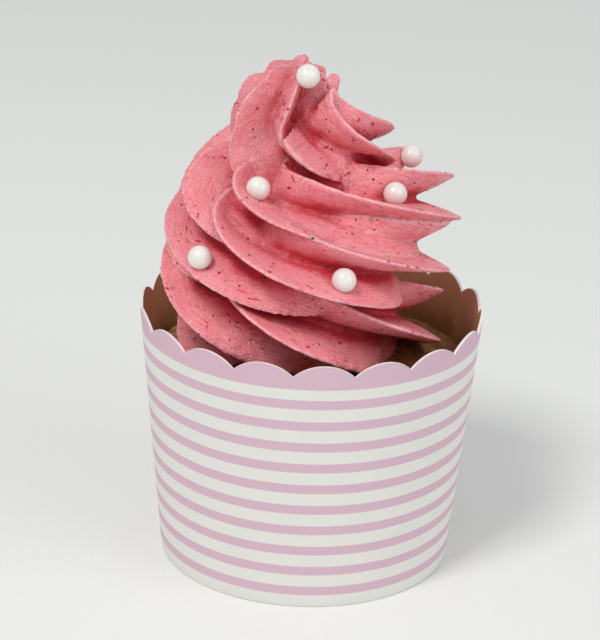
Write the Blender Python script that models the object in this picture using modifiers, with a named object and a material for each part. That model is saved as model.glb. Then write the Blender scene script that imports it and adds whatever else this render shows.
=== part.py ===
"""A cupcake in a striped paper baking cup, with a piped swirl of buttercream and sugar pearls.

Lengths are in metres and +Z is up. The cup's base is centred on the origin and the front is
towards -Y. The swirl is modelled the way it is piped: a star-shaped rope laid clockwise, seen
from above, from the outside of the cake up to a pulled peak, by a nozzle that never turns.
"""
import math

import bmesh
import bpy
import numpy as np
from mathutils import Vector
from mathutils.bvhtree import BVHTree

MM = 0.001
GAP = 0.3 * MM                      # air left between neighbouring pieces

# Paper cup: a cone of stiff paper with a scalloped rim, on a flat base
CUP_BASE_RADIUS = 25.0 * MM
CUP_SLOPE = 0.0955                  # radius gained for each unit of height
CUP_RIM_HEIGHT = 45.4 * MM          # to the top of a scallop
PAPER = 0.5 * MM
SCALLOPS = 18
SCALLOP_DEPTH = 2.1 * MM
SCALLOP_TURN = math.radians(-95.2)  # direction of one valley between two scallops
STEPS_PER_SCALLOP = 8

# Cake: fills the cup to a low dome with a rounded shoulder
CAKE_SHOULDER_HEIGHT = 34.2 * MM
CAKE_EDGE_RISE = 1.6 * MM
CAKE_DOME_RISE = 3.2 * MM
CAKE_SHOULDER_POINTS = 4
CAKE_DOME_POINTS = 4
CAKE_STEPS = 48

# Piping nozzle: an open star
TEETH = 6
GROOVE_RADIUS = 0.30                # as a share of the radius at the tooth tips
TOOTH_SHARPNESS = 1.60              # above 1 the flanks are hollow and the ridges thin
TOOTH_POINTS = (0.00, 0.08, 0.30, 0.55, 0.80, 1.00)     # from the tip to the groove
TOOTH_TIP = 0.08                    # the blunt share of each flank, at the tip
STEPS_PER_TURN = 60

# Path of the nozzle, by turns from the start at the back of the cake, in millimetres:
# (turns, path radius, height, reach of the teeth, shift to the right, shift to the back)
PATH = (
    (-0.50, 9.0, 37.0, 9.0, 0.0, 0.0),
    (-0.25, 11.0, 39.0, 12.5, -0.5, 0.0),
    (0.00, 11.0, 41.0, 14.5, -1.5, 0.0),
    (0.50, 10.5, 47.5, 15.0, -2.0, -1.0),
    (1.00, 11.0, 56.0, 13.0, -2.0, -1.5),
    (1.50, 14.0, 58.0, 13.5, -2.0, -1.0),
    (2.00, 11.5, 62.0, 12.5, 2.0, 0.5),
    (2.50, 12.0, 64.0, 14.5, -2.0, 4.0),
    (2.75, 9.5, 66.0, 13.5, -0.5, 0.0),
    (3.00, 6.5, 71.0, 13.5, -2.0, 0.0),
    (3.25, 3.5, 73.5, 13.0, -3.0, 1.5),
    (3.50, 1.5, 76.0, 13.0, -4.5, 1.0),
    (3.70, 0.5, 79.0, 9.0, -5.5, -0.5),
    (3.85, 0.5, 83.0, 6.5, -4.0, -1.5),
    (3.94, 0.5, 87.0, 4.5, -3.0, -1.5),
    (3.96, 0.5, 87.5, 2.0, -3.0, -1.5),
    (4.00, 0.0, 89.0, 1.0, -2.5, -1.0),
)
# (turns, direction of the first tooth in degrees, height of the rope as a share of its width)
NOZZLE = (
    (-0.5, -34.0, 0.60),
    (1.0, -31.0, 0.60),
    (2.0, -26.0, 0.60),
    (2.6, -21.0, 0.55),
    (3.2, -29.0, 0.45),
    (3.6, -30.0, 1.05),
    (4.0, -30.0, 0.90),
)
# Solid middle of the swirl: (radius, height) in millimetres, from the foot to the top
CORE = ((17.0, 33.0), (13.0, 42.0), (10.0, 58.0), (5.0, 70.0), (2.0, 80.0))
CORE_STEPS = 24
SWIRL_VOXEL = 0.6 * MM
SWIRL_SMOOTHING = 1
SWIRL_DECIMATE = 0.040

# Sugar pearls: (name, direction it is pressed in from in degrees, distance to the right of the
# axis seen from there and height, both in millimetres)
PEARL_RADIUS = 2.0 * MM
PEARL_SINK = 0.7 * MM               # how deep a pearl sits in the buttercream
PEARLS = (
    ("pearl_top", -60.0, -5.4, 86.6),
    ("pearl_upper_left", -75.0, -13.2, 68.6),
    ("pearl_left", -135.0, 0.0, 58.4),
    ("pearl_front", -75.0, -1.8, 57.2),
    ("pearl_upper_right", -45.0, 5.4, 67.4),
    ("pearl_right", 30.0, 0.0, 69.2),
    ("pearl_back_low", 62.0, 0.0, 55.0),
    ("pearl_back", 105.0, 0.0, 66.0),
    ("pearl_back_left", 152.0, 0.0, 57.0),
)
PEARL_SEGMENTS = 12
PEARL_RINGS = 7


def clear_scene():
    """Remove everything that is in the scene."""
    for thing in list(bpy.data.objects):
        bpy.data.objects.remove(thing)


def new_collection(name):
    collection = bpy.data.collections.new(name)
    bpy.context.scene.collection.children.link(collection)
    return collection


def make_material(name, colour, roughness, metallic=0.0):
    material = bpy.data.materials.new(name)
    material.use_nodes = True
    shader = material.node_tree.nodes["Principled BSDF"]
    shader.inputs["Base Color"].default_value = (*colour, 1.0)
    shader.inputs["Roughness"].default_value = roughness
    shader.inputs["Metallic"].default_value = metallic
    return material


def add_object(name, mesh, collection, material=None):
    thing = bpy.data.objects.new(name, mesh)
    collection.objects.link(thing)
    if material:
        mesh.materials.append(material)
    return thing


def mesh_from_bmesh(name, form):
    """Turn a bmesh into a smooth-shaded mesh."""
    mesh = bpy.data.meshes.new(name)
    form.to_mesh(mesh)
    form.free()
    mesh.shade_smooth()
    return mesh


def turned_object(name, profile, steps, collection, material=None):
    """Turn a profile of (radius, height) points about +Z; it runs from the top to the bottom."""
    mesh = bpy.data.meshes.new(name)
    points = [(radius, 0.0, height) for radius, height in profile]
    edges = [(i, i + 1) for i in range(len(points) - 1)]
    mesh.from_pydata(points, edges, [])
    thing = add_object(name, mesh, collection, material)
    screw = thing.modifiers.new("turn", "SCREW")
    screw.steps = steps
    screw.render_steps = steps
    screw.use_merge_vertices = True
    screw.merge_threshold = 0.00001
    return thing


def cup_radius(height):
    """Outer radius of the paper cup at a height."""
    return CUP_BASE_RADIUS + CUP_SLOPE * height


def rim_height(angle):
    """Height of the rim: round scallops that meet in sharp valleys."""
    half_width = cup_radius(CUP_RIM_HEIGHT) * math.pi / SCALLOPS
    arc_radius = (half_width ** 2 + SCALLOP_DEPTH ** 2) / (2.0 * SCALLOP_DEPTH)
    scallop_angle = math.tau / SCALLOPS
    across = ((angle - SCALLOP_TURN) % scallop_angle) / scallop_angle
    offset = half_width * (2.0 * across - 1.0)
    return CUP_RIM_HEIGHT - arc_radius + math.sqrt(arc_radius ** 2 - offset ** 2)


def make_paper_cup(collection):
    """A cone with a closed base, its upper edge cut into scallops, thickened inwards."""
    form = bmesh.new()
    segments = SCALLOPS * STEPS_PER_SCALLOP
    made = bmesh.ops.create_cone(
        form,
        cap_ends=False,
        segments=segments,
        radius1=CUP_BASE_RADIUS,
        radius2=cup_radius(CUP_RIM_HEIGHT),
        depth=CUP_RIM_HEIGHT,
    )
    step = math.tau / segments
    for corner in made["verts"]:
        at_rim = corner.co.z > 0.0
        index = round(math.atan2(corner.co.y, corner.co.x) / step)
        angle = SCALLOP_TURN + index * step
        height = rim_height(angle) if at_rim else 0.0
        radius = cup_radius(height)
        corner.co = (radius * math.cos(angle), radius * math.sin(angle), height)
    base_edges = [edge for edge in form.edges if all(corner.co.z == 0.0 for corner in edge.verts)]
    bmesh.ops.edgeloop_fill(form, edges=base_edges)
    bmesh.ops.recalc_face_normals(form, faces=form.faces)
    mesh = mesh_from_bmesh("paper_cup", form)
    mesh.set_sharp_from_angle(angle=math.radians(40.0))
    paper = make_material("striped_paper", (0.70, 0.60, 0.66), 0.75)
    cup = add_object("paper_cup", mesh, collection, paper)
    shell = cup.modifiers.new("paper", "SOLIDIFY")
    shell.thickness = PAPER
    shell.offset = -1.0
    shell.use_even_offset = True
    return cup


def cake_radius(height):
    """Radius of the cake against the inside of the cup."""
    wall = PAPER * math.hypot(1.0, CUP_SLOPE)
    return cup_radius(height) - wall - GAP * math.hypot(1.0, CUP_SLOPE)


def cake_top_profile(lift=0.0):
    """The cake's domed top from the middle to the wall, raised by a given distance."""
    side = cake_radius(CAKE_SHOULDER_HEIGHT)
    shoulder_top = CAKE_SHOULDER_HEIGHT + CAKE_EDGE_RISE
    inner = side - CAKE_EDGE_RISE * 1.6
    profile = []
    for i in range(CAKE_DOME_POINTS):
        share = i / CAKE_DOME_POINTS
        profile.append((inner * share, shoulder_top + CAKE_DOME_RISE * (1.0 - share ** 2) + lift))
    for i in range(CAKE_SHOULDER_POINTS + 1):
        turn = math.radians(90.0) * (1.0 - i / CAKE_SHOULDER_POINTS)
        radius = inner + (side - inner) * math.cos(turn)
        height = CAKE_SHOULDER_HEIGHT + CAKE_EDGE_RISE * math.sin(turn)
        profile.append((radius, height + lift))
    return profile


def make_cake(collection):
    foot = PAPER + GAP
    profile = cake_top_profile()
    profile += [(cake_radius(foot), foot), (0.0, foot)]
    sponge = make_material("sponge", (0.46, 0.26, 0.10), 0.85)
    cake = turned_object("cake", profile, CAKE_STEPS, collection, sponge)
    cake.data.shade_smooth()
    return cake


def make_cake_cutter(collection):
    """The cake's top raised by the gap, wide and deep enough to trim the swirl's foot."""
    profile = cake_top_profile(GAP)
    reach = CUP_BASE_RADIUS * 2.0
    profile += [(reach, CAKE_SHOULDER_HEIGHT + GAP), (reach, 0.0), (0.0, 0.0)]
    return turned_object("cake_cutter", profile, CAKE_STEPS, collection)


def monotone_curve(knots, values):
    """A smooth curve through the values that does not overshoot between them."""
    knots = np.array(knots, dtype=float)
    values = np.array(values, dtype=float)
    spans = np.diff(knots)
    slopes = np.diff(values) / spans
    tangents = np.zeros(len(knots))
    tangents[0] = slopes[0]
    tangents[-1] = slopes[-1]
    for i in range(1, len(slopes)):
        before, after = slopes[i - 1], slopes[i]
        if before * after > 0.0:
            weight_before = 2.0 * spans[i] + spans[i - 1]
            weight_after = spans[i] + 2.0 * spans[i - 1]
            total = weight_before + weight_after
            tangents[i] = total / (weight_before / before + weight_after / after)

    def curve(at):
        i = np.clip(np.searchsorted(knots, at) - 1, 0, len(spans) - 1)
        u = (at - knots[i]) / spans[i]
        start = (2.0 * u ** 3 - 3.0 * u ** 2 + 1.0) * values[i]
        leave = (u ** 3 - 2.0 * u ** 2 + u) * spans[i] * tangents[i]
        end = (3.0 * u ** 2 - 2.0 * u ** 3) * values[i + 1]
        arrive = (u ** 3 - u ** 2) * spans[i] * tangents[i + 1]
        return start + leave + end + arrive

    return curve


def column_curves(table):
    """One smooth curve for each column of a table whose first column is the turn count."""
    knots = [row[0] for row in table]
    return [monotone_curve(knots, column) for column in list(zip(*table))[1:]]


def star_section():
    """(direction, share of the reach) round the open star, starting at the first tooth."""
    flank = math.pi / TEETH
    rising = [-offset for offset in TOOTH_POINTS[:0:-1]]
    section = []
    for tooth in range(TEETH):
        for offset in rising + list(TOOTH_POINTS[:-1]):
            hollow = max(0.0, abs(offset) - TOOTH_TIP) / (1.0 - TOOTH_TIP)
            share = GROOVE_RADIUS + (1.0 - GROOVE_RADIUS) * (1.0 - hollow) ** TOOTH_SHARPNESS
            section.append((2.0 * flank * tooth + flank * offset, share))
    return section


def rope_rings():
    """Rings of points along the piped rope, as an array (step, point, xyz) in metres."""
    first, last = PATH[0][0], PATH[-1][0]
    turns = np.linspace(first, last, round((last - first) * STEPS_PER_TURN) + 1)
    radius, height, reach, right, back = (curve(turns) for curve in column_curves(PATH))
    first_tooth, flatness = (curve(turns) for curve in column_curves(NOZZLE))
    heading = math.radians(90.0) - math.tau * turns
    centres = np.stack(
        (radius * np.cos(heading) + right, radius * np.sin(heading) + back, height), axis=-1)
    tangents = np.gradient(centres, turns, axis=0)
    tangents /= np.linalg.norm(tangents, axis=1)[:, None]
    up = np.array((0.0, 0.0, 1.0))
    rings = []
    for direction, share in star_section():
        angle = np.radians(first_tooth) + direction
        outward = np.stack((np.cos(angle), np.sin(angle), np.zeros_like(angle)), axis=-1)
        # Swing the nozzle's flat section from level to square with the rope, without turning it
        lean = (outward * tangents).sum(axis=1) / (1.0 + tangents[:, 2])
        outward -= lean[:, None] * (tangents + up)
        outward[:, 2] *= flatness
        rings.append(centres + outward * (reach * share)[:, None])
    return np.stack(rings, axis=1) * MM


def add_rope(form):
    """Loft the rope's rings into a closed tube."""
    rings = [[form.verts.new(point) for point in ring] for ring in rope_rings()]
    for lower, upper in zip(rings, rings[1:]):
        for i in range(len(lower)):
            j = (i + 1) % len(lower)
            form.faces.new((lower[i], lower[j], upper[j], upper[i]))
    form.faces.new(reversed(rings[0]))
    form.faces.new(rings[-1])


def add_core(form):
    """A closed turned body that fills the middle of the swirl."""
    rings = []
    for radius, height in CORE:
        ring = []
        for step in range(CORE_STEPS):
            angle = math.tau * step / CORE_STEPS
            ring.append(form.verts.new(
                (radius * MM * math.cos(angle), radius * MM * math.sin(angle), height * MM)))
        rings.append(ring)
    for lower, upper in zip(rings, rings[1:]):
        for i in range(CORE_STEPS):
            j = (i + 1) % CORE_STEPS
            form.faces.new((lower[i], lower[j], upper[j], upper[i]))
    form.faces.new(reversed(rings[0]))
    form.faces.new(rings[-1])


def cut_with(thing, cutter):
    cut = thing.modifiers.new(f"cut_{cutter.name}", "BOOLEAN")
    cut.operation = "DIFFERENCE"
    cut.solver = "EXACT"
    cut.object = cutter


def make_frosting(collection, cake_cutter):
    """The piped rope fused into one body, standing on the cake."""
    form = bmesh.new()
    add_rope(form)
    add_core(form)
    bmesh.ops.triangulate(form, faces=[face for face in form.faces if len(face.verts) > 4])
    mesh = mesh_from_bmesh("frosting", form)
    buttercream = make_material("berry_buttercream", (0.74, 0.20, 0.24), 0.5)
    frosting = add_object("frosting", mesh, collection, buttercream)
    fuse = frosting.modifiers.new("fuse", "REMESH")
    fuse.mode = "VOXEL"
    fuse.voxel_size = SWIRL_VOXEL
    fuse.use_smooth_shade = True
    soften = frosting.modifiers.new("soften", "SMOOTH")
    soften.iterations = SWIRL_SMOOTHING
    thin = frosting.modifiers.new("thin", "DECIMATE")
    thin.ratio = SWIRL_DECIMATE
    cut_with(frosting, cake_cutter)
    return frosting


def surface_of(thing):
    """A search tree over an object's finished surface."""
    bpy.context.view_layer.update()
    return BVHTree.FromObject(thing, bpy.context.evaluated_depsgraph_get())


def pearl_centre(surface, direction, sideways, height):
    """Where a pearl rests when it is pressed level into the swirl from a direction."""
    outward = Vector((math.cos(direction), math.sin(direction), 0.0))
    side = Vector((-math.sin(direction), math.cos(direction), 0.0))
    start = outward * CUP_BASE_RADIUS * 2.0 + side * sideways + Vector((0.0, 0.0, height))
    hit, normal, _, _ = surface.ray_cast(start, -outward)
    return hit + normal * (PEARL_RADIUS - PEARL_SINK)


def ball_mesh(name, radius):
    form = bmesh.new()
    bmesh.ops.create_uvsphere(
        form, u_segments=PEARL_SEGMENTS, v_segments=PEARL_RINGS, radius=radius)
    return mesh_from_bmesh(name, form)


def make_pearls(collection, cutters, frosting):
    """Each pearl is a ball in a socket that is cut into the swirl."""
    surface = surface_of(frosting)
    sugar = make_material("sugar_pearl", (0.80, 0.77, 0.72), 0.3)
    for name, direction, sideways, height in PEARLS:
        centre = pearl_centre(surface, math.radians(direction), sideways * MM, height * MM)
        pearl = add_object(name, ball_mesh(name, PEARL_RADIUS), collection, sugar)
        pearl.location = centre
        socket = add_object(f"{name}_socket", ball_mesh(name, PEARL_RADIUS + GAP), cutters)
        socket.location = centre
        cut_with(frosting, socket)


def hide_cutters(cutters):
    for cutter in cutters.objects:
        cutter.hide_render = True
        cutter.display_type = "WIRE"


def main():
    clear_scene()
    parts = new_collection("cupcake")
    cutters = new_collection("cutters")
    make_paper_cup(parts)
    make_cake(parts)
    frosting = make_frosting(parts, make_cake_cutter(cutters))
    make_pearls(parts, cutters, frosting)
    hide_cutters(cutters)


main()
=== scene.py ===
"""Looks of a cupcake: a piped swirl of berry buttercream in a striped paper cup.

Lengths are in metres and +Z is up; the front of the cupcake is towards -Y. The fine swirl is
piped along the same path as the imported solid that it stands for, then torn, pitted and dented
by its pearls as real buttercream is.
"""
import itertools
import math

import bmesh
import bpy
import numpy as np
from mathutils import Matrix, Vector
from mathutils.bvhtree import BVHTree
from mathutils.kdtree import KDTree


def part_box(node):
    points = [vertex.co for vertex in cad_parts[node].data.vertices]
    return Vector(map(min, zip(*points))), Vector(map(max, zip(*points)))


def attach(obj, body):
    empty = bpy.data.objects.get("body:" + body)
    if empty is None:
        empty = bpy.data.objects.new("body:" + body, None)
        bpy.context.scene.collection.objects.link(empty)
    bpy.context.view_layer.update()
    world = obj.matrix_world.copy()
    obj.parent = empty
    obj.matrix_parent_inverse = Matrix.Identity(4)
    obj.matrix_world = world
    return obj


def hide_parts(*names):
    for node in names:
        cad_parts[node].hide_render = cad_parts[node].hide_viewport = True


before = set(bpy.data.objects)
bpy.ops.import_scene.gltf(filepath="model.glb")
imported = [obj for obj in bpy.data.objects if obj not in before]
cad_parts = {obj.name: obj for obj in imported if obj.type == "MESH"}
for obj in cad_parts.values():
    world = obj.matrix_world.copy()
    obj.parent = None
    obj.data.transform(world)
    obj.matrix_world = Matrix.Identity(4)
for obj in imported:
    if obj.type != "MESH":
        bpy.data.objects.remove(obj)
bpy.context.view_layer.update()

MM = 0.001

# Paper cup
CUP_BASE_RADIUS = 25.0 * MM
CUP_SLOPE = 0.0955                  # radius gained for each unit of height
CUP_RIM_HEIGHT = 45.4 * MM          # to the top of a scallop
PAPER = 0.45 * MM
SCALLOPS = 18
SCALLOP_DEPTH = 2.1 * MM
SCALLOP_TURN = math.radians(-95.2)  # direction of one valley between two scallops
STEPS_PER_SCALLOP = 24
WALL_RINGS = 30
FOOT_ROUNDING = 0.25 * MM
BASE_RECESS = 0.25 * MM             # the glued base sits a little above the wall's foot
BASE_RING = 22.0 * MM
LAP_DIRECTION = math.radians(90.0)  # the glued overlap of the wall is at the back
LAP_STEP = 0.16 * MM
LAP_FADE = math.radians(70.0)
RIM_SWAY = 0.18 * MM

# Printed stripes, by height
STRIPE_PITCH = 3.916
STRIPE_WIDTH = 1.67
LOWEST_STRIPE = 3.23                # middle of the lowest stripe
TOP_BAND = 41.2                     # plain colour from here to the rim

# Cake
CAKE_SHOULDER_HEIGHT = 34.2 * MM
CAKE_EDGE_RISE = 1.6 * MM
CAKE_DOME_RISE = 3.2 * MM
CAKE_GAP = 0.15 * MM
CAKE_STEPS = 480
CAKE_TOP_RINGS = 56
CAKE_SHOULDER_RINGS = 16

# Piping nozzle: an open star
TEETH = 6
GROOVE_RADIUS = 0.30                # as a share of the radius at the tooth tips
TOOTH_SHARPNESS = 1.60              # above 1 the flanks are hollow and the ridges thin
TOOTH_POINTS = (0.00, 0.05, 0.12, 0.22, 0.34, 0.48, 0.64, 0.82, 1.00)
TOOTH_TIP = 0.055                   # the blunt share of each flank, at the tip
STEPS_PER_TURN = 160

# Path of the nozzle, by turns from the start at the back of the cake, in millimetres:
# (turns, path radius, height, reach of the teeth, shift to the right, shift to the back)
PATH = (
    (-0.50, 9.0, 37.0, 9.0, 0.0, 0.0),
    (-0.25, 11.0, 39.0, 12.5, -0.5, 0.0),
    (0.00, 11.0, 41.0, 14.5, -1.5, 0.0),
    (0.50, 10.5, 47.5, 15.0, -2.0, -1.0),
    (1.00, 11.0, 56.0, 13.0, -2.0, -1.5),
    (1.50, 14.0, 58.0, 13.5, -2.0, -1.0),
    (2.00, 11.5, 62.0, 12.5, 2.0, 0.5),
    (2.50, 12.0, 64.0, 14.5, -2.0, 4.0),
    (2.75, 9.5, 66.0, 13.5, -0.5, 0.0),
    (3.00, 6.5, 71.0, 13.5, -2.0, 0.0),
    (3.25, 3.5, 73.5, 13.0, -3.0, 1.5),
    (3.50, 1.5, 76.0, 13.0, -4.5, 1.0),
    (3.70, 0.5, 79.0, 9.0, -5.5, -0.5),
    (3.85, 0.5, 83.0, 6.5, -4.0, -1.5),
    (3.94, 0.5, 87.0, 4.5, -3.0, -1.5),
    (3.96, 0.5, 87.5, 2.0, -3.0, -1.5),
    (4.00, 0.0, 88.8, 1.0, -2.5, -1.0),
)
# (turns, direction of the first tooth in degrees, height of the rope as a share of its width)
NOZZLE = (
    (-0.5, -34.0, 0.60),
    (1.0, -31.0, 0.60),
    (2.0, -26.0, 0.60),
    (2.6, -21.0, 0.55),
    (3.2, -29.0, 0.45),
    (3.6, -30.0, 1.05),
    (4.0, -30.0, 0.90),
)
# Solid middle of the swirl: (radius, height) in millimetres, from the foot to the top
CORE = ((17.0, 33.0), (13.0, 42.0), (10.5, 58.0), (8.5, 69.5), (2.0, 80.0))
CORE_STEPS = 48
SWIRL_VOXEL = 0.42 * MM
SWIRL_SMOOTHING = 2
SWIRL_KEPT = 0.68                   # share of the triangles kept, fewest on the flat faces
CREST_WIDTH = 1.0 * MM
# Painted shade in the buttercream's colour, from how shut in by buttercream each spot is:
PAINTED_SHADE_REACH = 11.0 * MM            # how far off buttercream still shades a hollow
PAINTED_SHADE_RAYS = 28
PAINTED_SHADE_STRIDE = 6                   # one vertex in this many is measured, the rest follow

# Torn and wet places: (place, reach) in millimetres
TORN_PLACES = (
    ((-2.5, -3.5, 82.0), 3.5),
    ((2.5, -6.5, 84.5), 2.5),
    ((0.0, -3.0, 86.5), 2.5),
    ((5.0, -6.0, 70.0), 4.0),
    ((-6.5, -8.5, 70.5), 2.5),
    ((-11.0, -19.5, 44.5), 4.0),
    ((5.0, -24.0, 44.0), 4.0),
    ((-4.0, -23.0, 52.0), 2.5),
)

PEARLS = (
    "pearl_top", "pearl_upper_left", "pearl_left", "pearl_front", "pearl_upper_right",
    "pearl_right", "pearl_back_low", "pearl_back", "pearl_back_left",
)
PEARL_RADIUS = 2.0 * MM
PEARL_SEGMENTS = 48
PEARL_RINGS = 28

CAMERA_PLACE = (0.0, -0.41412, 0.20691)
CAMERA_LENS = 147.1
CAMERA_SENSOR = 36.0
CAMERA_DOWN = math.radians(21.74)
CAMERA_LEFT = math.radians(0.27)
CAMERA_ROLL = math.radians(1.98)


# ---------------------------------------------------------------- meshes and numbers

def value_noise(points, cell, seed):
    """Smooth random values from -1 to 1 at points, which change over about one cell."""
    size = 32
    table = np.random.default_rng(seed).uniform(-1.0, 1.0, (size, size, size))
    grid = np.asarray(points) / cell
    low = np.floor(grid).astype(int)
    share = grid - low
    share = share * share * (3.0 - 2.0 * share)
    total = np.zeros(len(grid))
    for corner in itertools.product((0, 1), repeat=3):
        weight = np.ones(len(grid))
        for axis, step in enumerate(corner):
            weight *= share[:, axis] if step else 1.0 - share[:, axis]
        index = (low + corner) % size
        total += weight * table[index[:, 0], index[:, 1], index[:, 2]]
    return total


def mesh_points(mesh):
    points = np.empty(len(mesh.vertices) * 3)
    mesh.vertices.foreach_get("co", points)
    return points.reshape(-1, 3)


def mesh_normals(mesh):
    normals = np.empty(len(mesh.vertices) * 3)
    mesh.vertex_normals.foreach_get("vector", normals)
    return normals.reshape(-1, 3)


def move_points(mesh, points):
    mesh.vertices.foreach_set("co", np.ascontiguousarray(points).ravel())
    mesh.update()


def store(mesh, name, kind, values):
    """Keep one value for each vertex, for a material to read."""
    field = "vector" if kind == "FLOAT_VECTOR" else "value"
    attribute = mesh.attributes.new(name, kind, "POINT")
    attribute.data.foreach_set(field, np.ascontiguousarray(values, dtype=float).ravel())


def grid_faces(rows, columns, offset=0):
    """Quads of a grid whose columns close into a ring."""
    faces = []
    for row in range(rows - 1):
        for column in range(columns):
            after = (column + 1) % columns
            here, above = offset + row * columns, offset + (row + 1) * columns
            faces.append((here + column, here + after, above + after, above + column))
    return faces


def mesh_from_lists(name, points, faces):
    mesh = bpy.data.meshes.new(name)
    mesh.from_pydata([tuple(point) for point in points], [], faces)
    mesh.update()
    mesh.shade_smooth()
    return mesh


def add_piece(name, mesh, materials, slot, *nodes):
    """A shown piece that rides on the cupcake and may stand for some of its solids."""
    piece = bpy.data.objects.new(name, mesh)
    bpy.context.scene.collection.objects.link(piece)
    for material in materials:
        mesh.materials.append(material)
    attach(piece, "root")
    if nodes:
        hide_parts(*nodes)
    return piece


def finished_mesh(thing):
    """The mesh that an object's modifiers make."""
    graph = bpy.context.evaluated_depsgraph_get()
    return bpy.data.meshes.new_from_object(thing.evaluated_get(graph))


# ---------------------------------------------------------------- materials

class Surface:
    """A material's node tree, with short calls for the nodes that the finishes share."""

    def __init__(self, name):
        self.material = bpy.data.materials.new(name)
        self.material.use_nodes = True
        self.tree = self.material.node_tree
        self.shader = self.tree.nodes["Principled BSDF"]

    def node(self, kind, **settings):
        made = self.tree.nodes.new(kind)
        for key, value in settings.items():
            setattr(made, key, value)
        return made

    def feed(self, socket, value):
        """Put a number or colour in a socket, or link another socket to it."""
        if isinstance(value, bpy.types.NodeSocket):
            self.tree.links.new(value, socket)
        else:
            socket.default_value = value

    def place(self):
        """Position in the cupcake's frame, in metres."""
        return self.node("ShaderNodeTexCoord").outputs["Object"]

    def attribute(self, name, output="Fac"):
        return self.node("ShaderNodeAttribute", attribute_name=name).outputs[output]

    def math(self, operation, first, second=0.0, clamp=False):
        made = self.node("ShaderNodeMath", operation=operation, use_clamp=clamp)
        self.feed(made.inputs[0], first)
        self.feed(made.inputs[1], second)
        return made.outputs[0]

    def scaled(self, vector, scale):
        made = self.node("ShaderNodeVectorMath", operation="MULTIPLY")
        self.feed(made.inputs[0], vector)
        made.inputs[1].default_value = scale
        return made.outputs[0]

    def noise(self, vector, cell, detail=2.0, rough=0.5):
        """Noise from 0 to 1 whose blobs are about one cell across, in metres."""
        made = self.node("ShaderNodeTexNoise")
        self.feed(made.inputs["Vector"], vector)
        made.inputs["Scale"].default_value = 1.0 / cell
        made.inputs["Detail"].default_value = detail
        made.inputs["Roughness"].default_value = rough
        return made.outputs["Fac"]

    def spots(self, vector, cell):
        """Distance to the nearest scattered point, as a share of a cell."""
        made = self.node("ShaderNodeTexVoronoi")
        self.feed(made.inputs["Vector"], vector)
        made.inputs["Scale"].default_value = 1.0 / cell
        return made.outputs["Distance"]

    def ramp(self, value, low, high, start=0.0, end=1.0):
        """start up to low, end from high, and a smooth change between them."""
        made = self.node("ShaderNodeMapRange", interpolation_type="SMOOTHSTEP")
        self.feed(made.inputs["Value"], value)
        made.inputs["From Min"].default_value = low
        made.inputs["From Max"].default_value = high
        made.inputs["To Min"].default_value = start
        made.inputs["To Max"].default_value = end
        return made.outputs["Result"]

    def blend(self, share, first, second):
        """Mix two colours, each a triple or a socket."""
        made = self.node("ShaderNodeMix", data_type="RGBA")
        self.feed(made.inputs["Factor"], share)
        for socket, colour in ((made.inputs["A"], first), (made.inputs["B"], second)):
            self.feed(socket, (*colour, 1.0) if isinstance(colour, tuple) else colour)
        return made.outputs["Result"]

    def colour(self, colour):
        self.feed(self.shader.inputs["Base Color"], colour)

    def bump(self, height, distance, strength=1.0):
        """Relief whose full height is a distance in metres."""
        made = self.node("ShaderNodeBump")
        made.inputs["Distance"].default_value = distance
        made.inputs["Strength"].default_value = strength
        self.feed(made.inputs["Height"], height)
        self.feed(self.shader.inputs["Normal"], made.outputs["Normal"])


def buttercream_material():
    surface = Surface("berry_buttercream")
    place = surface.place()
    flow = surface.attribute("flow", "Vector")
    torn = surface.attribute("torn")
    streaks = surface.noise(surface.scaled(flow, (0.25, 1.0, 1.0)), 0.30 * MM, 3.0, 0.6)
    clouds = surface.noise(place, 4.0 * MM, 3.0)
    grain = surface.noise(place, 0.28 * MM, 3.0, 0.65)
    pink = surface.blend(surface.ramp(clouds, 0.35, 0.65), (0.91, 0.30, 0.34), (0.89, 0.24, 0.28))
    pink = surface.blend(surface.ramp(streaks, 0.45, 0.68, 0.0, 0.8), pink, (0.76, 0.13, 0.17))
    pink = surface.blend(surface.ramp(grain, 0.50, 0.68, 0.0, 0.8), pink, (0.95, 0.53, 0.55))
    # Painted shade: spots shut in by buttercream are painted darker and redder.
    hollow = surface.ramp(surface.attribute("hollow"), 0.22, 0.62)
    pink = surface.blend(hollow, pink, (0.64, 0.045, 0.07))
    # Painted highlight: a pale, ragged line along each crest.
    ragged = surface.math("ADD", surface.attribute("crest"), surface.math(
        "MULTIPLY", surface.noise(place, 0.8 * MM, 3.0), 0.5))
    crest = surface.ramp(ragged, 0.80, 1.20, 0.0, 0.6)
    pink = surface.blend(crest, pink, (0.95, 0.60, 0.62))
    juice = surface.spots(surface.scaled(flow, (0.40, 1.0, 1.0)), 0.8 * MM)
    patch = surface.ramp(surface.noise(place, 2.2 * MM), 0.48, 0.58)
    juice = surface.math("MULTIPLY", surface.ramp(juice, 0.10, 0.28, 0.85, 0.0), patch)
    pink = surface.blend(juice, pink, (0.52, 0.03, 0.05))
    bruise = surface.ramp(surface.spots(place, 6.5 * MM), 0.03, 0.12, 0.6, 0.0)
    surface.colour(surface.blend(bruise, pink, (0.25, 0.10, 0.11)))
    curds = surface.math("MULTIPLY", surface.noise(place, 0.45 * MM, 3.0), torn)
    relief = surface.math("ADD", grain, surface.math("MULTIPLY", streaks, 0.8))
    relief = surface.math("ADD", relief, surface.math("MULTIPLY", curds, 3.0))
    surface.bump(relief, 0.18 * MM)
    wet = surface.ramp(surface.noise(place, 1.6 * MM, 3.0), 0.52, 0.66)
    wet = surface.math("MAXIMUM", wet, torn)
    surface.feed(surface.shader.inputs["Roughness"], surface.ramp(wet, 0.0, 1.0, 0.46, 0.13))
    surface.shader.inputs["Specular IOR Level"].default_value = 0.5
    return surface.material


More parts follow.
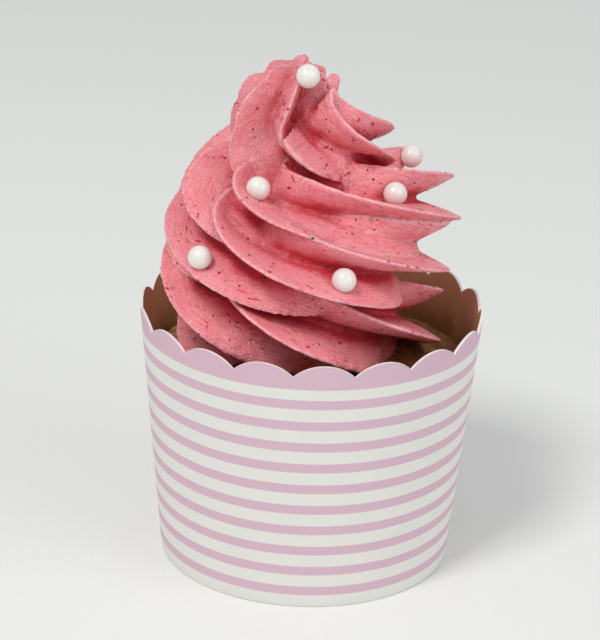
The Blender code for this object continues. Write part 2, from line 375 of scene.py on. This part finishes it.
def print_material():
    """White paper with lilac stripes at even heights and a plain lilac band at the rim."""
    surface = Surface("striped_paper")
    place = surface.place()
    split = surface.node("ShaderNodeSeparateXYZ")
    surface.feed(split.inputs[0], place)
    bleed = surface.noise(place, 0.5 * MM, 3.0)
    height = surface.math("MULTIPLY", split.outputs["Z"], 1.0 / MM)
    height = surface.math("ADD", height, surface.math("MULTIPLY", bleed, 0.06))
    above_first = surface.math("SUBTRACT", height, LOWEST_STRIPE - STRIPE_WIDTH / 2.0)
    in_pitch = surface.math("PINGPONG", surface.math(
        "SUBTRACT", above_first, STRIPE_WIDTH / 2.0), STRIPE_PITCH / 2.0)
    stripe = surface.ramp(in_pitch, STRIPE_WIDTH / 2.0 - 0.04, STRIPE_WIDTH / 2.0 + 0.04, 1.0, 0.0)
    below_band = surface.ramp(height, TOP_BAND - 1.0, TOP_BAND - 0.9, 1.0, 0.0)
    above_foot = surface.ramp(height, 1.0, 1.1)
    stripe = surface.math("MULTIPLY", surface.math("MULTIPLY", stripe, below_band), above_foot)
    band = surface.ramp(height, TOP_BAND - 0.04, TOP_BAND + 0.04)
    ink = surface.math("MAXIMUM", stripe, band)
    fibres = surface.noise(place, 0.25 * MM, 4.0, 0.7)
    mottle = surface.noise(place, 6.0 * MM, 2.0)
    white = surface.blend(mottle, (0.75, 0.74, 0.70), (0.79, 0.78, 0.75))
    lilac = surface.blend(fibres, (0.64, 0.43, 0.52), (0.70, 0.49, 0.58))
    surface.colour(surface.blend(ink, white, lilac))
    surface.bump(fibres, 0.03 * MM)
    surface.feed(surface.shader.inputs["Roughness"], surface.ramp(fibres, 0.3, 0.7, 0.60, 0.75))
    return surface.material


def cut_edge_material():
    surface = Surface("cut_paper_edge")
    fibres = surface.noise(surface.place(), 0.15 * MM, 4.0, 0.7)
    surface.colour(surface.blend(fibres, (0.80, 0.78, 0.74), (0.92, 0.91, 0.88)))
    surface.bump(fibres, 0.05 * MM)
    surface.feed(surface.shader.inputs["Roughness"], surface.ramp(fibres, 0.3, 0.7, 0.8, 0.9))
    return surface.material


def inside_material():
    """Paper that the bake has browned, darker and glossier low down by the cake."""
    surface = Surface("baked_paper")
    place = surface.place()
    split = surface.node("ShaderNodeSeparateXYZ")
    surface.feed(split.inputs[0], place)
    height = surface.math("MULTIPLY", split.outputs["Z"], 1.0 / MM)
    wander = surface.noise(place, 4.0 * MM, 3.0)
    fibres = surface.noise(place, 0.3 * MM, 4.0, 0.7)
    # Darker and glossier towards the bottom, below about 37 to 45 mm, with a wavering edge.
    wavering_height = surface.math("ADD", height, surface.math("MULTIPLY", wander, 6.0))
    low_on_wall = surface.ramp(wavering_height, 37.0, 45.0, 1.0, 0.0)
    brown = surface.blend(fibres, (0.64, 0.40, 0.24), (0.80, 0.54, 0.35))
    brown = surface.blend(low_on_wall, brown, (0.44, 0.25, 0.09))
    oil = surface.ramp(surface.noise(place, 5.0 * MM, 3.0), 0.50, 0.60, 0.0, 0.7)
    surface.colour(surface.blend(oil, brown, (0.60, 0.48, 0.20)))
    surface.bump(surface.math("ADD", fibres, wander), 0.05 * MM)
    surface.feed(surface.shader.inputs["Roughness"], surface.ramp(low_on_wall, 0.0, 1.0, 0.75, 0.45))
    return surface.material


def crust_material():
    surface = Surface("sponge_crust")
    place = surface.place()
    patches = surface.noise(place, 3.0 * MM, 3.0)
    crumb = surface.noise(place, 0.5 * MM, 4.0, 0.7)
    crust = surface.blend(surface.ramp(crumb, 0.35, 0.65), (0.16, 0.06, 0.018), (0.40, 0.20, 0.075))
    crust = surface.blend(surface.ramp(patches, 0.40, 0.65, 0.0, 0.7), crust, (0.50, 0.29, 0.11))
    surface.colour(crust)
    surface.bump(crumb, 0.25 * MM)
    surface.feed(surface.shader.inputs["Roughness"], surface.ramp(crumb, 0.3, 0.7, 0.65, 0.9))
    return surface.material


def pearl_material():
    surface = Surface("sugar_pearl")
    place = surface.place()
    lustre = surface.noise(place, 0.8 * MM, 3.0)
    grain = surface.noise(place, 0.12 * MM, 2.0)
    sugar = surface.blend(lustre, (0.76, 0.71, 0.66), (0.83, 0.80, 0.76))
    juice = surface.ramp(surface.noise(place, 1.3 * MM, 3.0), 0.64, 0.72, 0.0, 0.4)
    surface.colour(surface.blend(juice, sugar, (0.80, 0.46, 0.45)))
    surface.bump(grain, 0.01 * MM)
    surface.feed(surface.shader.inputs["Roughness"], surface.ramp(lustre, 0.3, 0.7, 0.28, 0.40))
    surface.shader.inputs["Coat Weight"].default_value = 0.7
    surface.shader.inputs["Coat Roughness"].default_value = 0.15
    return surface.material


def fleck_material(name, dark, light, roughness):
    surface = Surface(name)
    grain = surface.noise(surface.place(), 0.3 * MM, 3.0)
    surface.colour(surface.blend(grain, dark, light))
    surface.bump(grain, 0.04 * MM)
    surface.feed(
        surface.shader.inputs["Roughness"],
        surface.ramp(grain, 0.3, 0.7, roughness, roughness + 0.2))
    return surface.material


def floor_material():
    surface = Surface("pale_floor")
    weave = surface.noise(surface.place(), 0.6 * MM, 3.0, 0.6)
    surface.colour(surface.blend(weave, (0.78, 0.79, 0.76), (0.82, 0.83, 0.80)))
    surface.bump(weave, 0.05 * MM)
    surface.feed(surface.shader.inputs["Roughness"], surface.ramp(weave, 0.3, 0.7, 0.8, 0.95))
    return surface.material


# ---------------------------------------------------------------- paper cup

def cup_radius(height):
    """Outer radius of the paper cup at a height."""
    return CUP_BASE_RADIUS + CUP_SLOPE * height


def rim_height(angle):
    """Height of the rim: round scallops that meet in sharp valleys."""
    half_width = cup_radius(CUP_RIM_HEIGHT) * math.pi / SCALLOPS
    arc_radius = (half_width ** 2 + SCALLOP_DEPTH ** 2) / (2.0 * SCALLOP_DEPTH)
    scallop_angle = math.tau / SCALLOPS
    across = ((angle - SCALLOP_TURN) % scallop_angle) / scallop_angle
    offset = half_width * (2.0 * across - 1.0)
    return CUP_RIM_HEIGHT - arc_radius + np.sqrt(arc_radius ** 2 - offset ** 2)


def lap_drop(angle):
    """How far the wall lies under the glued overlap: a step that fades out to one side."""
    past = (angle - LAP_DIRECTION) % math.tau
    return LAP_STEP * np.clip(1.0 - past / LAP_FADE, 0.0, 1.0)


def wall_radius(angle, height):
    """Outer radius of the real wall, which is never quite round."""
    sway = 0.5 + 0.25 * np.sin(5.0 * angle + 0.6) + 0.25 * np.sin(8.0 * angle + 2.1)
    share = height / CUP_RIM_HEIGHT
    return cup_radius(height) - lap_drop(angle) - RIM_SWAY * sway * share ** 2


def cup_rows(angles):
    """Rows of (radius, height) for each angle, from the middle of the base's underside
    outwards, up the outside, over the rim, down the inside and across the base again."""
    rim = rim_height(angles)
    ones = np.ones_like(angles)
    rows = []
    for radius in (BASE_RING * 0.5, BASE_RING, BASE_RING + 0.2 * MM):
        height = BASE_RECESS if radius <= BASE_RING else 0.0
        rows.append((radius * ones, height * ones))
    for turn in np.radians((-90.0, -45.0, 0.0)):
        radius = wall_radius(angles, 0.0) - FOOT_ROUNDING * (1.0 - math.cos(turn))
        rows.append((radius, FOOT_ROUNDING * (1.0 + math.sin(turn)) * ones))
    for share in np.linspace(0.0, 1.0, WALL_RINGS)[1:]:
        height = FOOT_ROUNDING + (rim - FOOT_ROUNDING) * share
        rows.append((wall_radius(angles, height), height))
    outside = len(rows)
    floor = BASE_RECESS + PAPER
    for share in np.linspace(1.0, 0.0, WALL_RINGS):
        height = floor + (rim - floor) * share
        rows.append((wall_radius(angles, height) - PAPER, height))
    rows.append((BASE_RING * 0.5 * ones, floor * ones))
    return rows, outside


def make_cup():
    columns = SCALLOPS * STEPS_PER_SCALLOP
    angles = SCALLOP_TURN + np.arange(columns) * math.tau / columns
    rows, outside = cup_rows(angles)
    points = []
    for radius, height in rows:
        points.append(np.stack((radius * np.cos(angles), radius * np.sin(angles), height), -1))
    points = np.concatenate(points)
    faces = grid_faces(len(rows), columns)
    under, over = len(points), len(points) + 1
    poles = ((0.0, 0.0, BASE_RECESS), (0.0, 0.0, BASE_RECESS + PAPER))
    points = np.concatenate((points, poles))
    last = (len(rows) - 1) * columns
    for column in range(columns):
        after = (column + 1) % columns
        faces.append((after, column, under))
        faces.append((last + column, last + after, over))
    mesh = mesh_from_lists("cup", points, faces)
    rows_of_faces = np.array([2] * len(faces))
    rows_of_faces[:(outside - 1) * columns] = 0
    rows_of_faces[(outside - 1) * columns:outside * columns] = 1
    rows_of_faces[(len(rows) - 1) * columns::2] = 1
    mesh.polygons.foreach_set("material_index", rows_of_faces)
    mesh.set_sharp_from_angle(angle=math.radians(40.0))
    materials = (print_material(), cut_edge_material(), inside_material())
    return add_piece("striped_cup", mesh, materials, "paper", "paper_cup")


# ---------------------------------------------------------------- cake

def cake_radius(height):
    """Radius of the cake against the inside of the cup."""
    return cup_radius(height) - (0.5 * MM + 0.3 * MM) * math.hypot(1.0, CUP_SLOPE)


def cake_profile(dome_points, shoulder_points, lift=0.0):
    """The cake's domed top from the middle to the wall, raised by a given distance."""
    side = cake_radius(CAKE_SHOULDER_HEIGHT)
    shoulder_top = CAKE_SHOULDER_HEIGHT + CAKE_EDGE_RISE
    inner = side - CAKE_EDGE_RISE * 1.6
    profile = []
    for i in range(dome_points):
        share = i / dome_points
        profile.append((inner * share, shoulder_top + CAKE_DOME_RISE * (1.0 - share ** 2) + lift))
    for i in range(shoulder_points + 1):
        turn = math.radians(90.0) * (1.0 - i / shoulder_points)
        radius = inner + (side - inner) * math.cos(turn)
        height = CAKE_SHOULDER_HEIGHT + CAKE_EDGE_RISE * math.sin(turn)
        profile.append((radius, height + lift))
    return profile


def turned_mesh(name, profile, steps):
    """Turn a profile about +Z; it starts and ends on the axis."""
    angles = np.arange(steps) * math.tau / steps
    points = []
    for radius, height in profile[1:-1]:
        ring = (radius * np.cos(angles), radius * np.sin(angles), np.full(steps, height))
        points.append(np.stack(ring, -1))
    rings = len(points)
    poles = ((0.0, 0.0, profile[0][1]), (0.0, 0.0, profile[-1][1]))
    points = np.concatenate(points + [np.array(poles)])
    faces = [face[::-1] for face in grid_faces(rings, steps)]
    top, bottom = len(points) - 2, len(points) - 1
    last = (rings - 1) * steps
    for step in range(steps):
        after = (step + 1) % steps
        faces.append((step, after, top))
        faces.append((last + after, last + step, bottom))
    return mesh_from_lists(name, points, faces)


def make_cake():
    foot = 0.8 * MM
    profile = cake_profile(CAKE_TOP_RINGS, CAKE_SHOULDER_RINGS)
    for height in np.linspace(CAKE_SHOULDER_HEIGHT, foot, 12)[1:]:
        profile.append((cake_radius(height), height))
    profile.append((0.0, foot))
    mesh = turned_mesh("cake", profile, CAKE_STEPS)
    points, normals = mesh_points(mesh), mesh_normals(mesh)
    crumb = value_noise(points, 0.7 * MM, 11) + 0.6 * value_noise(points, 1.8 * MM, 12)
    depth = 0.16 * MM * (crumb - 1.6)
    move_points(mesh, points + normals * depth[:, None])
    return add_piece("cake_crust", mesh, (crust_material(),), "sponge", "cake")


# ---------------------------------------------------------------- swirl

def monotone_curve(knots, values):
    """A smooth curve through the values that does not overshoot between them."""
    knots = np.array(knots, dtype=float)
    values = np.array(values, dtype=float)
    spans = np.diff(knots)
    slopes = np.diff(values) / spans
    tangents = np.zeros(len(knots))
    tangents[0] = slopes[0]
    tangents[-1] = slopes[-1]
    for i in range(1, len(slopes)):
        before, after = slopes[i - 1], slopes[i]
        if before * after > 0.0:
            weight_before = 2.0 * spans[i] + spans[i - 1]
            weight_after = spans[i] + 2.0 * spans[i - 1]
            total = weight_before + weight_after
            tangents[i] = total / (weight_before / before + weight_after / after)

    def curve(at):
        i = np.clip(np.searchsorted(knots, at) - 1, 0, len(spans) - 1)
        u = (at - knots[i]) / spans[i]
        start = (2.0 * u ** 3 - 3.0 * u ** 2 + 1.0) * values[i]
        leave = (u ** 3 - 2.0 * u ** 2 + u) * spans[i] * tangents[i]
        end = (3.0 * u ** 2 - 2.0 * u ** 3) * values[i + 1]
        arrive = (u ** 3 - u ** 2) * spans[i] * tangents[i + 1]
        return start + leave + end + arrive

    return curve


def column_curves(table):
    """One smooth curve for each column of a table whose first column is the turn count."""
    knots = [row[0] for row in table]
    return [monotone_curve(knots, column) for column in list(zip(*table))[1:]]


def star_section():
    """(direction, share of the reach, offset from the tooth) round the open star."""
    flank = math.pi / TEETH
    rising = [-offset for offset in TOOTH_POINTS[:0:-1]]
    section = []
    for tooth in range(TEETH):
        for offset in rising + list(TOOTH_POINTS[:-1]):
            hollow = max(0.0, abs(offset) - TOOTH_TIP) / (1.0 - TOOTH_TIP)
            share = GROOVE_RADIUS + (1.0 - GROOVE_RADIUS) * (1.0 - hollow) ** TOOTH_SHARPNESS
            section.append((2.0 * flank * tooth + flank * offset, share, offset))
    return section


def rope_rings():
    """Rings of points along the piped rope, as an array (step, point, xyz) in metres."""
    first, last = PATH[0][0], PATH[-1][0]
    turns = np.linspace(first, last, round((last - first) * STEPS_PER_TURN) + 1)
    radius, height, reach, right, back = (curve(turns) for curve in column_curves(PATH))
    first_tooth, flatness = (curve(turns) for curve in column_curves(NOZZLE))
    heading = math.radians(90.0) - math.tau * turns
    centres = np.stack(
        (radius * np.cos(heading) + right, radius * np.sin(heading) + back, height), axis=-1)
    tangents = np.gradient(centres, turns, axis=0)
    tangents /= np.linalg.norm(tangents, axis=1)[:, None]
    up = np.array((0.0, 0.0, 1.0))
    rings = []
    for direction, share, offset in star_section():
        angle = np.radians(first_tooth) + direction
        outward = np.stack((np.cos(angle), np.sin(angle), np.zeros_like(angle)), axis=-1)
        # Swing the nozzle's flat section from level to square with the rope, without turning it
        lean = (outward * tangents).sum(axis=1) / (1.0 + tangents[:, 2])
        outward -= lean[:, None] * (tangents + up)
        outward[:, 2] *= flatness
        rings.append(centres + outward * (reach * share)[:, None])
    return np.stack(rings, axis=1) * MM


def rope_and_core(rings):
    """The rope's closed tube and the closed core, as one mesh."""
    steps, around, _ = rings.shape
    points = [rings.reshape(-1, 3)]
    faces = [face[::-1] for face in grid_faces(steps, around)]
    faces.append(tuple(range(around)))
    faces.append(tuple(range(steps * around - 1, (steps - 1) * around - 1, -1)))
    start = steps * around
    for radius, height in CORE:
        angles = np.arange(CORE_STEPS) * math.tau / CORE_STEPS
        ring = (radius * np.cos(angles), radius * np.sin(angles), np.full(CORE_STEPS, height))
        points.append(np.stack(ring, -1) * MM)
    faces += grid_faces(len(CORE), CORE_STEPS, start)
    faces.append(tuple(range(start + CORE_STEPS - 1, start - 1, -1)))
    end = start + len(CORE) * CORE_STEPS
    faces.append(tuple(range(end - CORE_STEPS, end)))
    return mesh_from_lists("swirl_rope", np.concatenate(points), faces)


def fused_swirl(rings):
    """One closed skin over the rope and the core, cut to stand on the cake."""
    rope = bpy.data.objects.new("swirl_rope", rope_and_core(rings))
    bpy.context.scene.collection.objects.link(rope)
    fuse = rope.modifiers.new("fuse", "REMESH")
    fuse.mode = "VOXEL"
    fuse.voxel_size = SWIRL_VOXEL
    fuse.use_smooth_shade = True
    soften = rope.modifiers.new("soften", "SMOOTH")
    soften.iterations = SWIRL_SMOOTHING
    thin = rope.modifiers.new("thin", "DECIMATE")
    thin.ratio = SWIRL_KEPT
    profile = cake_profile(24, 8, CAKE_GAP)
    profile += [(CUP_BASE_RADIUS * 2.0, CAKE_SHOULDER_HEIGHT), (CUP_BASE_RADIUS * 2.0, 0.0)]
    profile.append((0.0, 0.0))
    cutter = bpy.data.objects.new("cake_cutter", turned_mesh("cake_cutter", profile, 96))
    bpy.context.scene.collection.objects.link(cutter)
    cut = rope.modifiers.new("cut", "BOOLEAN")
    cut.operation = "DIFFERENCE"
    cut.solver = "EXACT"
    cut.object = cutter
    mesh = finished_mesh(rope)
    for helper in (rope, cutter):
        bpy.data.objects.remove(helper)
    return mesh


def flow_frames(rings):
    """For every point of the rings: unit vectors along the rope and round it, and how far
    along and round the point is in metres."""
    along = np.gradient(rings, axis=0)
    along /= np.linalg.norm(along, axis=2)[:, :, None]
    centres = rings.mean(axis=1)
    travel = np.zeros(len(rings))
    travel[1:] = np.linalg.norm(np.diff(centres, axis=0), axis=1).cumsum()
    step = np.roll(rings, -1, axis=1) - rings
    length = np.linalg.norm(step, axis=2)
    around = step / np.maximum(length, 1e-9)[:, :, None]
    round_at = length.cumsum(axis=1) - length
    travel = np.broadcast_to(travel[:, None], round_at.shape)
    return along, around, travel, round_at


def mark_flow(mesh, rings):
    """Store on each vertex how far along and round the rope it is, and how near a crest, where the
    material paints a highlight.
    """
    along, around, travel, round_at = (
        part.reshape(-1, *part.shape[2:]) for part in flow_frames(rings))
    flat = rings.reshape(-1, 3)
    offsets = np.array([offset for _, _, offset in star_section()])
    nearest = nearest_index(flat, mesh_points(mesh))
    points = mesh_points(mesh)
    away = points - flat[nearest]
    flow = np.stack((
        travel[nearest] + (away * along[nearest]).sum(axis=1),
        round_at[nearest] + (away * around[nearest]).sum(axis=1),
        np.zeros(len(points))), -1)
    on_crest = np.flatnonzero(np.tile(offsets == 0.0, len(rings)))
    crest = on_crest[nearest_index(flat[on_crest], points)]
    crest_away = points - flat[crest]
    crest_away -= (crest_away * along[crest]).sum(axis=1)[:, None] * along[crest]
    crest_gap = np.linalg.norm(crest_away, axis=1)
    store(mesh, "flow", "FLOAT_VECTOR", flow)
    store(mesh, "crest", "FLOAT", np.clip(1.0 - crest_gap / CREST_WIDTH, 0.0, 1.0))


def nearest_index(targets, points):
    """The index of the nearest target to each point."""
    tree = KDTree(len(targets))
    for index, target in enumerate(targets):
        tree.insert(target, index)
    tree.balance()
    return np.array([tree.find(point)[1] for point in points])


def sky_directions(count, rng):
    """Directions over a half sphere about +Z, denser towards its top."""
    turn = rng.uniform(0.0, math.tau, count)
    radius = np.sqrt((np.arange(count) + 0.5) / count)
    return np.stack((radius * np.cos(turn), radius * np.sin(turn), np.sqrt(1.0 - radius ** 2)), -1)


def mark_painted_shade(mesh):
    """Store on each vertex how shut in it is by the buttercream around it, from 0 to 1; the
    material paints shade with it.
    """
    form = bmesh.new()
    form.from_mesh(mesh)
    surface = BVHTree.FromBMesh(form)
    form.free()
    rng = np.random.default_rng(51)
    points, normals = mesh_points(mesh), mesh_normals(mesh)
    measured = np.arange(0, len(points), PAINTED_SHADE_STRIDE)
    shut = np.zeros(len(measured))
    for place, index in enumerate(measured):
        normal = Vector(normals[index])
        start = Vector(points[index]) + normal * 0.15 * MM
        turn = normal.to_track_quat("Z", "Y").to_matrix()
        for direction in sky_directions(PAINTED_SHADE_RAYS, rng):
            distance = surface.ray_cast(start, turn @ Vector(direction), PAINTED_SHADE_REACH)[3]
            if distance is not None:
                shut[place] += (1.0 - distance / PAINTED_SHADE_REACH) / PAINTED_SHADE_RAYS
    tree = KDTree(len(measured))
    for place, index in enumerate(measured):
        tree.insert(points[index], place)
    tree.balance()
    spread = [np.mean([shut[found[1]] for found in tree.find_n(point, 5)]) for point in points]
    store(mesh, "hollow", "FLOAT", spread)


def mark_torn(mesh):
    """Mark where the nozzle or a pearl pulled at the buttercream and left it rough and wet."""
    points = mesh_points(mesh)
    rag = 1.0 + 0.5 * value_noise(points, 1.2 * MM, 61)
    torn = np.zeros(len(points))
    for place, reach in TORN_PLACES:
        gap = np.linalg.norm(points / MM - place, axis=1)
        torn = np.maximum(torn, np.clip(1.6 * (1.0 - gap * rag / reach), 0.0, 1.0))
    store(mesh, "torn", "FLOAT", torn)
    curds = value_noise(points, 0.7 * MM, 62) + 0.7 * value_noise(points, 1.5 * MM, 63)
    move_points(mesh, points + mesh_normals(mesh) * (0.22 * MM * torn * curds)[:, None])


def roughen(mesh):
    """Small waves and pits in the buttercream."""
    points, normals = mesh_points(mesh), mesh_normals(mesh)
    waves = value_noise(points, 2.2 * MM, 21)
    pits = np.minimum(value_noise(points, 0.8 * MM, 22), 0.0)
    move_points(mesh, points + normals * (0.06 * MM * waves + 0.10 * MM * pits)[:, None])


def press_pearls(mesh, centres):
    """Dent the buttercream under each pearl."""
    points = mesh_points(mesh)
    for centre in centres:
        away = points - centre
        gap = np.linalg.norm(away, axis=1)
        outward = away / gap[:, None]
        inside = gap < PEARL_RADIUS
        points[inside] = centre + outward[inside] * PEARL_RADIUS
    move_points(mesh, points)


def pearl_centres():
    centres = {}
    for name in PEARLS:
        low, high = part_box(name)
        centres[name] = np.array((low + high) / 2.0)
    return centres


def make_swirl():
    rings = rope_rings()
    mesh = fused_swirl(rings)
    mark_flow(mesh, rings)
    roughen(mesh)
    mark_torn(mesh)
    press_pearls(mesh, pearl_centres().values())
    mark_painted_shade(mesh)
    mesh.materials.clear()
    mesh.shade_smooth()
    return add_piece("swirl", mesh, (buttercream_material(),), "buttercream", "frosting")


# ---------------------------------------------------------------- pearls, flecks and seeds

def make_pearls():
    sugar = pearl_material()
    for seed, (name, centre) in enumerate(pearl_centres().items()):
        form = bmesh.new()
        bmesh.ops.create_uvsphere(
            form, u_segments=PEARL_SEGMENTS, v_segments=PEARL_RINGS, radius=PEARL_RADIUS)
        mesh = bpy.data.meshes.new(name)
        form.to_mesh(mesh)
        form.free()
        points = mesh_points(mesh)
        lumps = 1.0 + 0.008 * (value_noise(points + seed, 1.5 * MM, 31) - 1.0)
        move_points(mesh, points * lumps[:, None] + centre)
        mesh.shade_smooth()
        add_piece(f"sugar_{name}", mesh, (sugar,), "sugar_pearl", name)


def scatter(mesh, count, rng):
    """Random places on a mesh: points, unit normals and unit vectors along the flow."""
    mesh.calc_loop_triangles()
    corners = np.empty(len(mesh.loop_triangles) * 3, dtype=np.int32)
    mesh.loop_triangles.foreach_get("vertices", corners)
    corners = corners.reshape(-1, 3)
    points = mesh_points(mesh)
    a, b, c = (points[corners[:, i]] for i in range(3))
    cross = np.cross(b - a, c - a)
    area = np.linalg.norm(cross, axis=1)
    chosen = rng.choice(len(corners), count, p=area / area.sum())
    mix = rng.dirichlet((1.0, 1.0, 1.0), count)
    spots = sum(mix[:, i:i + 1] * points[corners[chosen, i]] for i in range(3))
    normals = cross[chosen] / area[chosen][:, None]
    flow = np.empty(len(mesh.vertices) * 3)
    mesh.attributes["flow"].data.foreach_get("vector", flow)
    travel = flow.reshape(-1, 3)[:, 0]
    edges = np.stack(((b - a)[chosen], (c - a)[chosen]), 1)
    rise = np.stack((
        travel[corners[chosen, 1]] - travel[corners[chosen, 0]],
        travel[corners[chosen, 2]] - travel[corners[chosen, 0]]), -1)
    along = np.einsum("nij,ni->nj", edges, rise)
    along -= (along * normals).sum(axis=1)[:, None] * normals
    along /= np.maximum(np.linalg.norm(along, axis=1), 1e-12)[:, None]
    return spots, normals, along


def scattered_lumps(name, swirl, count, sizes, sink, seed):
    """Small rounded lumps joined into one mesh. sizes gives the least and greatest half
    length, half width and half height; sink is the share of the height that is buried."""
    rng = np.random.default_rng(seed)
    form = bmesh.new()
    bmesh.ops.create_icosphere(form, subdivisions=1, radius=1.0)
    ball = np.array([corner.co[:] for corner in form.verts])
    ball_faces = np.array([[corner.index for corner in face.verts] for face in form.faces])
    form.free()
    spots, normals, along = scatter(swirl.data, count, rng)
    across = np.cross(normals, along)
    points, faces = [], []
    for i in range(count):
        size = [rng.uniform(low, high) for low, high in sizes]
        lump = ball * size * (1.0 + 0.18 * rng.uniform(-1.0, 1.0, (len(ball), 1)))
        axes = np.stack((along[i], across[i], normals[i]))
        points.append(spots[i] + normals[i] * size[2] * (1.0 - 2.0 * sink) + lump @ axes)
        faces.append(ball_faces + i * len(ball))
    return mesh_from_lists(name, np.concatenate(points), np.concatenate(faces).tolist())


def make_flecks(swirl):
    skins = scattered_lumps(
        "berry_skins", swirl, 520,
        ((0.12 * MM, 0.75 * MM), (0.08 * MM, 0.34 * MM), (0.08 * MM, 0.12 * MM)), 0.60, 41)
    red = fleck_material("berry_skin", (0.42, 0.012, 0.022), (0.62, 0.030, 0.050), 0.30)
    add_piece("berry_skins", skins, (red,), "buttercream")
    seeds = scattered_lumps(
        "berry_seeds", swirl, 300,
        ((0.15 * MM, 0.26 * MM), (0.14 * MM, 0.22 * MM), (0.12 * MM, 0.18 * MM)), 0.55, 42)
    black = fleck_material("berry_seed", (0.010, 0.007, 0.010), (0.04, 0.025, 0.030), 0.35)
    add_piece("berry_seeds", seeds, (black,), "buttercream")


# ---------------------------------------------------------------- stage

def add_light(name, place, target, size, power, colour=(1.0, 1.0, 1.0)):
    light = bpy.data.lights.new(name, "AREA")
    light.size = size
    light.energy = power
    light.color = colour
    lamp = bpy.data.objects.new(name, light)
    bpy.context.scene.collection.objects.link(lamp)
    lamp.location = place
    lamp.rotation_euler = (Vector(target) - Vector(place)).to_track_quat("-Z", "Y").to_euler()
    return lamp


def make_stage():
    form = bmesh.new()
    bmesh.ops.create_grid(form, x_segments=1, y_segments=1, size=4.0)
    mesh = bpy.data.meshes.new("floor")
    form.to_mesh(mesh)
    form.free()
    mesh.materials.append(floor_material())
    floor = bpy.data.objects.new("floor", mesh)
    bpy.context.scene.collection.objects.link(floor)
    world = bpy.data.worlds.new("studio")
    world.use_nodes = True
    sky = world.node_tree.nodes["Background"]
    sky.inputs["Color"].default_value = (0.95, 0.97, 1.0, 1.0)
    sky.inputs["Strength"].default_value = 0.60
    bpy.context.scene.world = world
    middle = (0.0, 0.0, 0.05)
    add_light("window", (-0.30, -0.45, 0.80), middle, 0.24, 4.1, (1.0, 0.985, 0.96))
    add_light("fill", (0.65, -0.45, 0.50), middle, 0.6, 1.7)
    bpy.context.scene.view_settings.view_transform = "Standard"


def make_camera():
    camera = bpy.data.cameras.new("camera")
    camera.lens = CAMERA_LENS
    camera.sensor_width = CAMERA_SENSOR
    camera.clip_start = 0.01
    camera.clip_end = 20.0
    holder = bpy.data.objects.new("camera", camera)
    bpy.context.scene.collection.objects.link(holder)
    turn = Matrix.Rotation(CAMERA_LEFT, 4, "Z")
    tip = Matrix.Rotation(math.radians(90.0) - CAMERA_DOWN, 4, "X")
    roll = Matrix.Rotation(CAMERA_ROLL, 4, "Z")
    holder.matrix_world = Matrix.Translation(CAMERA_PLACE) @ turn @ tip @ roll
    bpy.context.scene.camera = holder


make_cup()
make_cake()
make_flecks(make_swirl())
make_pearls()
make_stage()
make_camera()
